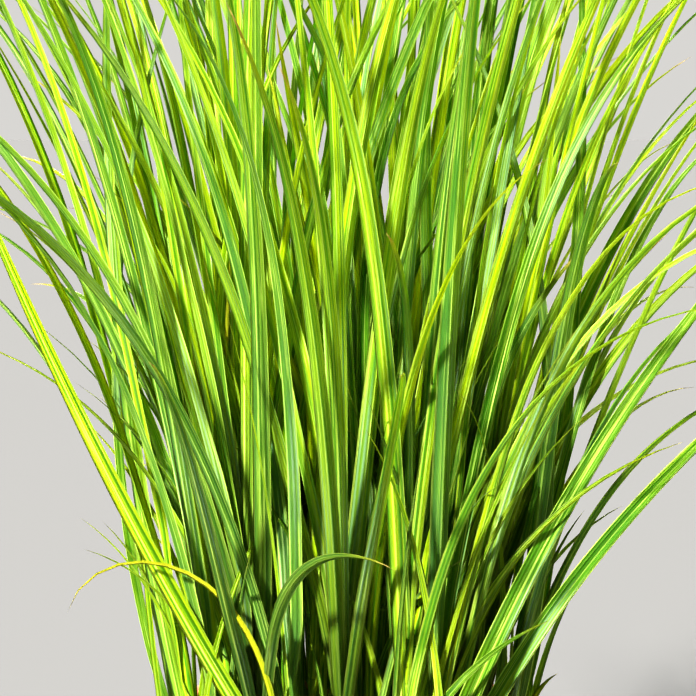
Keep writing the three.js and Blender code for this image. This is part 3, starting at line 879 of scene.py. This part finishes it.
def add_leaf(bm, leaf, layers, values, around=LEAF_AROUND, rows=LEAF_ROWS):
    """A leaf: a tube round the stem at its root, which opens to a shallow fold and then tapers."""
    length = leaf["length"]
    grip = leaf["grip"]
    draw = numbers(leaf["seed"])
    shade = leaf.get("tone", draw())
    ripple = RIPPLES * draw()
    thin = values.thickness / MM
    rib = values.rib / MM
    sections = {}

    def section(share):
        at, along, level = eased(leaf["line"], share)
        roll = radians(leaf["roll"] + leaf["twist"] * share)
        side = Quaternion(along, roll) @ level
        up = side.cross(along)
        opened = smooth(share * length / CURL_LENGTH)
        parted = smooth(share * length / MOUTH_LENGTH)
        half = mix(pi * grip, leaf_width(share, leaf["width"]) / 2, parted)
        wave = noise.noise(Vector((ripple, share * length / WAVE_LENGTH, 0)))
        fold = FOLD_DEEPER * mix(FOLD, TIP_FOLD, share) * (1 + FOLD_WAVE * wave)
        return at - up * grip * (1 - opened), side, up, half, fold, opened

    def rib_to_edge(across):
        """Which side of the leaf a point is on, and how far from the rib, from -1 to 1."""
        upper = across <= 0.5
        even = 4 * across - 1 if upper else 3 - 4 * across
        return upper, copysign(abs(even) ** RIB_CROWDING, even)

    def round_and_along(across, along):
        upper, u = rib_to_edge(across)
        return (u + 1) / 4 if upper else (3 - u) / 4, along**ROW_CROWDING

    def tone(across, along):
        return shade, leaf["age"]

    def place(across, along):
        share = along**ROW_CROWDING
        if share not in sections:
            sections[share] = section(share)
        at, side, up, half, fold, opened = sections[share]
        if share >= 1:
            return at * MM
        upper, u = rib_to_edge(across)
        # The open leaf folds up from its rib, and its root curls round the stem.
        flat_x = u * half
        flat_z = fold * half * (sqrt(u * u + RIB_ROUND) - RIB_DROP)
        turn = u * half / grip
        curl_x = sin(turn) * grip
        curl_z = (1 - cos(turn)) * grip
        x = mix(curl_x, flat_x, opened)
        z = mix(curl_z, flat_z, opened)
        slim = (1 - share) ** 0.5
        pleat = PLEAT_HEIGHT * cos(u * PLEATS * pi) * opened * slim
        edge = sqrt(max(0.0, 1 - u * u))
        if upper:
            z += (thin * 0.5 * edge + pleat) * slim
        else:
            ridge = rib * exp(-((u / RIB_HALF_WIDTH) ** 2)) * opened
            z -= (thin * 0.5 * edge + ridge) * slim - pleat
        return (at + side * x + up * z) * MM

    marks = (round_and_along, tone)
    sheet(bm, around, rows, place, layers, marks, leaf.get("material", 0))


def add_stem(bm, stem, leaves, layers):
    """The round stem, wrapped in sheaths that each end in a collar where a leaf parts."""
    foot, _, foot_level = stem["line"][0]
    height = stem["height"]
    collars = [min(leaf["rise"], height) for leaf in leaves]
    draw = numbers(SEEDS["sheath"] + stem["number"])
    shade = draw()

    def near_collar(rise, reach):
        above = min((c for c in collars if c >= rise - 1e-6), default=height)
        return max(0.0, 1 - (above - rise) / reach)

    def rise_at(along):
        return mix(STEM_UNDER, height, along)

    def tone(across, along):
        return shade, near_collar(rise_at(along), COLLAR)

    def place(across, along):
        rise = rise_at(along)
        turn = tau * across
        if rise < 0:
            at = foot + Vector((0, 0, rise))
            tangent, level = Vector((0, 0, 1)), foot_level
        else:
            at, tangent, level = eased(stem["line"], rise / height)
        # A sheath is thickest just under its collar, and a spear of young leaves ends the stem.
        up = max(0, rise)
        radius = stem_radius(up / height) + SHEATH * near_collar(up, SWELLING)
        radius *= smooth((height - rise) / SPEAR)
        back = tangent.cross(level)
        return (at + (level * cos(turn) + back * sin(turn)) * radius) * MM

    sheet(bm, STEM_AROUND, STEM_ROWS, place, layers, (here, tone), material=1)


def leaf_material(name, values, withered=False, inner=False):
    """A leaf with pleats and veins along it, a pale rib and margins, and light through it.

    A leaf from inside the clump has painted shade: darker and less see-through low down.
    """
    net = Net(name)
    around, along, chance, age = net.marks()
    place = net.place()
    u = 1 - abs(around * 4 - 2)
    a = abs(u)
    lower = around.maths("GREATER_THAN", 0.5)

    # Pleats wander a little across the leaf, and veins run between them.
    wander = net.noise(net.vector(chance * 70, along * 3, u * 1.5), 1.0, 1.0)
    pleat = (u * (PLEATS * pi) + wander * 3.0).maths("COSINE") * 0.5 + 0.5
    vein = (u * (PLEATS * VEINS_PER_PLEAT * pi)).maths("COSINE") * 0.5 + 0.5
    streak = net.noise(net.vector(u * 2.8 + chance * 90, along * 1.6, chance * 50), 1.0, 2.0, 0.6)
    fine = net.noise(net.vector(u * 30 + chance * 90, along * 16, chance * 50), 1.0, 2.0, 0.6)
    cloud = net.noise(place, 9.0, 3.0)
    lines = net.noise(net.vector(chance * 130, 0.0, 0.0), 1.0, 0.0).ramp(0.35, 0.65)
    rib = a.ramp(0.14, 0.05) * (lines * 0.7 + 0.3)
    margin = a.ramp(0.84, 0.94) * (1 - lines * 0.6)
    bands = (pleat * 0.40 + streak.ramp(0.45, 0.56) * 0.60).limited()
    # Fine pale lines follow the level 0.5 of a noise. Patches of painted sheen lie on dark leaves.
    line = abs(streak - 0.5).ramp(0.022, 0.006)
    painted_sheen = net.noise(net.vector(chance * 210, along * 2.2, u * 0.4), 1.0, 1.0).ramp(0.55, 0.68)

    # A leaf's brightness from its tone and patches: partly its own colour, partly painted light and
    # shade.
    bright = (chance.ramp(0.20, 0.80) * 0.8 + cloud.ramp(0.35, 0.7) * 0.2).limited()
    darker = net.colours(bright, times(values.blue_green, 0.6), values.green)
    # The paler lower face, plus the patches of painted sheen, in the bloom colour.
    bloom_and_painted_sheen = (lower * 0.12 + 0.01 + painted_sheen * pleat * 0.9) * (fine * 0.9 + 0.3) * (1 - bright * 0.8)
    pale = (rib * (0.8 - lower * 0.3) + margin * 0.75 + line * 0.6).limited()
    base = net.layered(
        values.blue_green,
        (bright, values.light_green),
        (bands, darker),
        (vein * 0.12, values.light_green),
        (bloom_and_painted_sheen.limited(), values.bloom),
        (pale, values.pale),
    )
    # Painted shade: inside the clump the colour darkens towards the bottom.
    if inner:
        painted_shade = net.height(place).ramp(0.58, 0.27) * 0.85
        base = net.colours(painted_shade, base, times(values.blue_green, 0.12))

    # A leaf or two turn yellow as a whole, and old ones wither a little at the tip.
    dry_from = 0.985 - age * 0.05
    edge_first = along + a * 0.012 + (streak - 0.5) * 0.05
    dry = streak.ramp(0.0, 0.35) if withered else ((edge_first - dry_from) * 30).limited()
    tip = ((edge_first - dry_from + 0.10) * 8).limited()
    yellow = (tip * 0.5 + chance.ramp(1.2, 1.4) * along.ramp(0.1, 0.5) * 0.7).limited()
    base = net.layered(base, (yellow, values.yellow), (dry, values.straw))

    relief = pleat * 0.6 + vein * 0.25 + fine * 0.15 - rib * 0.9 * (1 - lower)
    normal = net.bump(relief, 1.0, 0.0006)
    shine = {"IOR": 1.46, "Specular Tint": colour(values.sheen)}
    surface = net.principled(base, 0.24 + fine * 0.14 + dry * 0.3, normal, shine)

    def light_through(rgb):
        return net.node("BsdfTranslucent", {}, {"Color": colour(rgb), "Normal": normal})

    deep = (bands * 0.7 + (1 - bright) * 0.5).limited()
    through = net.between(deep, light_through(values.glow), light_through(values.deep_glow))
    through = net.between(pale * 0.7, through, light_through(values.pale_glow))
    through = net.between((yellow + dry).limited(), through, light_through(values.dry_glow))
    share = (1 - rib * 0.35) * (1 - dry * 0.5) * values.let_through
    # The painted shade inside the clump also lets less light through low down.
    if inner:
        share = share * (1 - painted_shade * 0.6)
    return net.finish(net.between(share, surface, through))


def sheath_material(name, values):
    """Stem and sheaths: ribbed pale green, lighter at the collars and straw or red at the foot."""
    net = Net(name)
    around, along, chance, near = net.marks()
    place = net.place()
    vein = (around * (SHEATH_VEINS * tau)).maths("COSINE") * 0.5 + 0.5
    streak = net.noise(net.vector(around * 14, along * 4, chance * 40), 1.0, 3.0, 0.6)
    cloud = net.noise(place, 30.0, 3.0)
    low = (along.ramp(0.42, 0.10) * (cloud * 0.7 + 0.6)).limited()
    old = (along.ramp(0.30, 0.08) * streak.ramp(0.42, 0.6) * chance.ramp(0.1, 0.6)).limited()
    red = (along.ramp(0.28, 0.10) * cloud.ramp(0.5, 0.7)).limited()
    base = net.layered(
        values.green,
        (streak.ramp(0.35, 0.7), values.light_green),
        (0.35, times(values.green, 0.3)),
        (vein * 0.3, times(values.green, 0.4)),
        (low * 0.6, SHEATH_FOOT),
        (old, values.straw),
        (red * 0.5, SHEATH_RED),
        (near.ramp(0.75, 1.0) * 0.35, values.pale),
    )
    normal = net.bump(vein * 0.6 + streak * 0.4, 0.4, 0.0003)
    return net.finish(net.principled(base, 0.42 + streak * 0.15, normal, {"IOR": 1.5}))


class SILVERGRASS_OT_stems(bpy.types.Operator):
    """Grows every leafy stem where its solid stands"""

    bl_idname = "silver_grass.stems"
    bl_label = "Leafy Stems"

    def execute(self, context):
        values = settings().grass
        sheath = sheath_material("grass_sheath", values)
        outer = [leaf_material("grass_leaf", values), sheath]
        # Stems inside the clump get leaves with painted shade low down.
        inner = [leaf_material("inner_grass_leaf", values, inner=True), sheath]
        for stem in all_stems():
            node = f"leafy_stem_{stem['number'] + 1:02d}"
            leaves = grown_leaves(stem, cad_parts[node])
            if not leaves:
                raise RuntimeError(f"{node} has no leaf that the rule knows")
            bm, layers = leaf_mesh()
            add_stem(bm, stem, leaves, layers)
            for leaf in leaves:
                leaf["grip"] = stem_radius(min(1, leaf["rise"] / stem["height"])) + SHEATH
                leaf["seed"] = seed_of("look", stem, leaf["number"])
                add_leaf(bm, leaf, layers, values)
            close_up(bm)
            is_inner = stem["number"] >= len(FRONT) and stem["out"] < INNER_SHARE
            leafy = inner if is_inner else outer
            new_piece(f"grass_stem_{stem['number'] + 1:02d}", bm, leafy, [node])
        return {"FINISHED"}


SHOOTS_PER_STEM = 3
WITHERED_PER_STEM = 2
LOW_LEAF_REACH = 132.0
LOW_LEAF_AROUND = 8
LOW_LEAF_ROWS = 26
LOW_LEAF_GRIP = 1.3
LOW_LEAF_DEPTH = 5
# The least and the most of each measure of a low leaf, in the order in which they are drawn.
SHOOT = {
    "first_lean": (2, 14), "turn": (0, tau), "from_stem": (6, 13), "heading": (-100, 100),
    "drift": (-25, 25), "arch": (6, 58), "power": (1.4, 3), "length": (110, 380),
    "width": (4.5, 8), "roll": (-70, 70), "twist": (-50, 50),
}
WITHERED = {
    "turn": (0, tau), "from_stem": (5, 9), "heading": (90, 270), "drift": (-70, 70),
    "first_lean": (18, 45), "last_lean": (80, 125), "power": (0.8, 1.6), "length": (60, 150),
    "width": (4, 6.5), "roll": (-60, 60), "twist": (-160, 160),
}
SHOOT_AGE = 0.2
WITHERED_AGE = 1
THIN_BLADE_LIE = {"drift": 0, "roll": 70, "twist": 20, "age": 0.6}

# Thin blades that cross in front of the others: the foot, the heading, the first and last lean, the
# power of the bend, the length, the width, and the tone as for the main leaves.
THIN_BLADES = (
    (-100, -96, 0, (0, 38), 1.3, 275, 4.5, 0.85),
    (-26, -92, 180, (5, 15), 1.0, 390, 4.0, 0.95),
    (-124, -22, 180, (9, -2), 1.0, 330, 4.5, 0.70),
    (-40, -112, 182, (4, 165), 2.6, 290, 5.0, 1.50),
    (-70, -86, 0, (-6, 14), 1.0, 250, 4.0, 0.40),
    (48, -96, 0, (10, 46), 1.6, 250, 4.0, 0.90),
    (86, -74, 180, (4, 40), 1.4, 300, 4.5, 0.80),
    (96, -60, 0, (2, 24), 1.0, 420, 5.0, 0.15),
    (-8, -100, 0, (4, 12), 1.0, 360, 4.5, 0.20),
    (-33, -74, 0, (0, 2), 1.0, 200, 8.0, 0.10),
)


class SILVERGRASS_OT_low_leaves(bpy.types.Operator):
    """Adds the young shoots and the withered leaves low down between the stems"""

    bl_idname = "silver_grass.low_leaves"
    bl_label = "Low Leaves"

    def execute(self, context):
        values = settings().grass
        young = leaf_material("young_leaf", values)
        withered = leaf_material("withered_leaf", values, withered=True)
        bm, layers = leaf_mesh()
        for stem in all_stems():
            draw = numbers(SEEDS["low"] + stem["number"])
            for k in range(SHOOTS_PER_STEM + WITHERED_PER_STEM):
                leaf = self.grow(stem, draw, k >= SHOOTS_PER_STEM)
                if hypot(leaf["foot"].x, leaf["foot"].y) <= LOW_LEAF_REACH:
                    self.plant(bm, leaf, seed_of("low", stem, k), layers, values)
        for i, blade in enumerate(THIN_BLADES):
            leaf = {"foot": Vector((*blade[:2], 0)), **dict(zip(THIN_BLADE, blade[2:]))}
            self.plant(bm, leaf | THIN_BLADE_LIE, SEEDS["thin"] + i, layers, values)
        close_up(bm)
        new_piece("low_leaves", bm, [young, withered])
        return {"FINISHED"}

    def plant(self, bm, leaf, seed, layers, values):
        foot = leaf["foot"]
        foot.z = soil_height(foot.x, foot.y) - LOW_LEAF_DEPTH
        leaf["line"] = leaf_line(leaf, foot)
        leaf["seed"] = seed
        leaf["grip"] = LOW_LEAF_GRIP
        add_leaf(bm, leaf, layers, values, LOW_LEAF_AROUND, LOW_LEAF_ROWS)

    def grow(self, stem, draw, withered):
        """A low leaf beside a stem, young or withered."""
        ranges = WITHERED if withered else SHOOT
        leaf = {what: mix(*ends, draw()) for what, ends in ranges.items()}
        x, y = round_at(leaf["from_stem"], leaf["turn"])
        leaf["foot"] = Vector((stem["x"] + x, stem["y"] + y, 0))
        leaf["heading"] += stem["heading"]
        first = leaf["first_lean"]
        leaf["lean"] = (first, leaf["last_lean"] if withered else first + leaf["arch"])
        leaf["age"] = WITHERED_AGE if withered else SHOOT_AGE
        leaf["material"] = int(withered)
        return leaf


# Stage

PICTURE_HEIGHT = 0.464
PICTURE_LOW = 0.085
FOCUS_Y = -0.060
CAMERA_DISTANCE = 1.25
CAMERA_DOWN = 7.0
SENSOR = 36.0
# Where each sun's light comes from, how soft its shadows are, in degrees, and its colour.
SUNS = {
    "key": ((-0.58, -0.82, 0.74), 5.0, (1.0, 0.98, 0.93)),
    "side": ((-0.20, 0.72, 1.05), 14.0, (1.0, 0.99, 0.95)),
}
FILL_AT = (-1.4, -2.4, 1.9)
FILL_TOWARDS = (0, 0, 0.55)
FILL_SIZE = 1.8
FILL_COLOUR = (0.95, 0.98, 1.0)
SKY_COLOUR = (1.0, 0.985, 0.955)
FLOOR_HALF_SIZE = 60
FLOOR_PATCHES = 0.985


def add_light(kind, name, strength, rgb, direction):
    light = bpy.data.lights.new(name, kind)
    light.energy = strength
    light.color = rgb
    made = new_object(name, light)
    made.rotation_euler = direction.to_track_quat("-Z", "Y").to_euler()
    return made


class SILVERGRASS_OT_stage(bpy.types.Operator):
    """Sets the pale floor and backdrop, the studio lights and the camera"""

    bl_idname = "silver_grass.stage"
    bl_label = "Stage"

    def execute(self, context):
        values = settings().stage
        self.floor(values)
        self.lights(values)
        self.sky(values)
        self.camera(context)
        context.scene.view_settings.view_transform = "Standard"
        context.scene.view_settings.look = "High Contrast"
        return {"FINISHED"}

    def floor(self, values):
        net = Net("pale_floor")
        patches = net.noise(net.place(), 0.8, 2.0)
        tone = net.colours(patches, values.floor, times(values.floor, FLOOR_PATCHES))
        material = net.dull(tone, 1.0, 0.0)
        bm = bmesh.new()
        bmesh.ops.create_grid(bm, x_segments=1, y_segments=1, size=FLOOR_HALF_SIZE)
        new_piece("floor", bm, [material], stage=True)

    def lights(self, values):
        for name, (light_from, soft, rgb) in SUNS.items():
            sun = add_light("SUN", name, getattr(values, name), rgb, -Vector(light_from))
            sun.data.angle = radians(soft)
        direction = Vector(FILL_TOWARDS) - Vector(FILL_AT)
        fill = add_light("AREA", "fill", values.fill, FILL_COLOUR, direction)
        fill.location = FILL_AT
        fill.data.size = FILL_SIZE

    def sky(self, values):
        net = Net("soft_sky", world=True)
        light = net.node("Background", {}, [colour(SKY_COLOUR), values.sky])
        bpy.context.scene.world = net.finish(light)

    def camera(self, context):
        middle = Vector((0, FOCUS_Y, SOIL_LEVEL * MM + PICTURE_LOW + PICTURE_HEIGHT / 2))
        down = radians(CAMERA_DOWN)
        data = bpy.data.cameras.new("camera")
        data.sensor_width = SENSOR
        data.lens = SENSOR * CAMERA_DISTANCE / PICTURE_HEIGHT
        made = new_object("camera", data)
        made.location = middle + Vector((0, -cos(down), sin(down))) * CAMERA_DISTANCE
        made.rotation_euler = (middle - made.location).to_track_quat("-Z", "Y").to_euler()
        context.scene.camera = made


class SILVERGRASS_PT_panel(bpy.types.Panel):
    """Lists the pieces and their settings"""

    bl_idname = "SILVERGRASS_PT_panel"
    bl_label = "Silver Grass"
    bl_space_type = "VIEW_3D"
    bl_region_type = "UI"
    bl_category = "Silver Grass"

    def draw(self, context):
        values = settings()
        for operator in OPERATORS:
            self.layout.operator(operator.bl_idname)
        for group in (values.pot, values.compost, values.grass, values.stage):
            box = self.layout.box()
            for name in group.__annotations__:
                box.prop(group, name)


OPERATORS = (
    SILVERGRASS_OT_pot,
    SILVERGRASS_OT_compost,
    SILVERGRASS_OT_stems,
    SILVERGRASS_OT_low_leaves,
    SILVERGRASS_OT_stage,
)
CLASSES = (
    PotSettings,
    CompostSettings,
    GrassSettings,
    StageSettings,
    AllSettings,
    *OPERATORS,
    SILVERGRASS_PT_panel,
)


def register():
    for cls in CLASSES:
        bpy.utils.register_class(cls)
    bpy.types.Scene.silver_grass = bpy.props.PointerProperty(type=AllSettings)


def unregister():
    del bpy.types.Scene.silver_grass
    for cls in reversed(CLASSES):
        bpy.utils.unregister_class(cls)


def main():
    register()
    bpy.ops.silver_grass.pot()
    bpy.ops.silver_grass.compost()
    bpy.ops.silver_grass.stems()
    bpy.ops.silver_grass.low_leaves()
    bpy.ops.silver_grass.stage()
    bpy.context.view_layer.update()


if __name__ == "__main__":
    main()
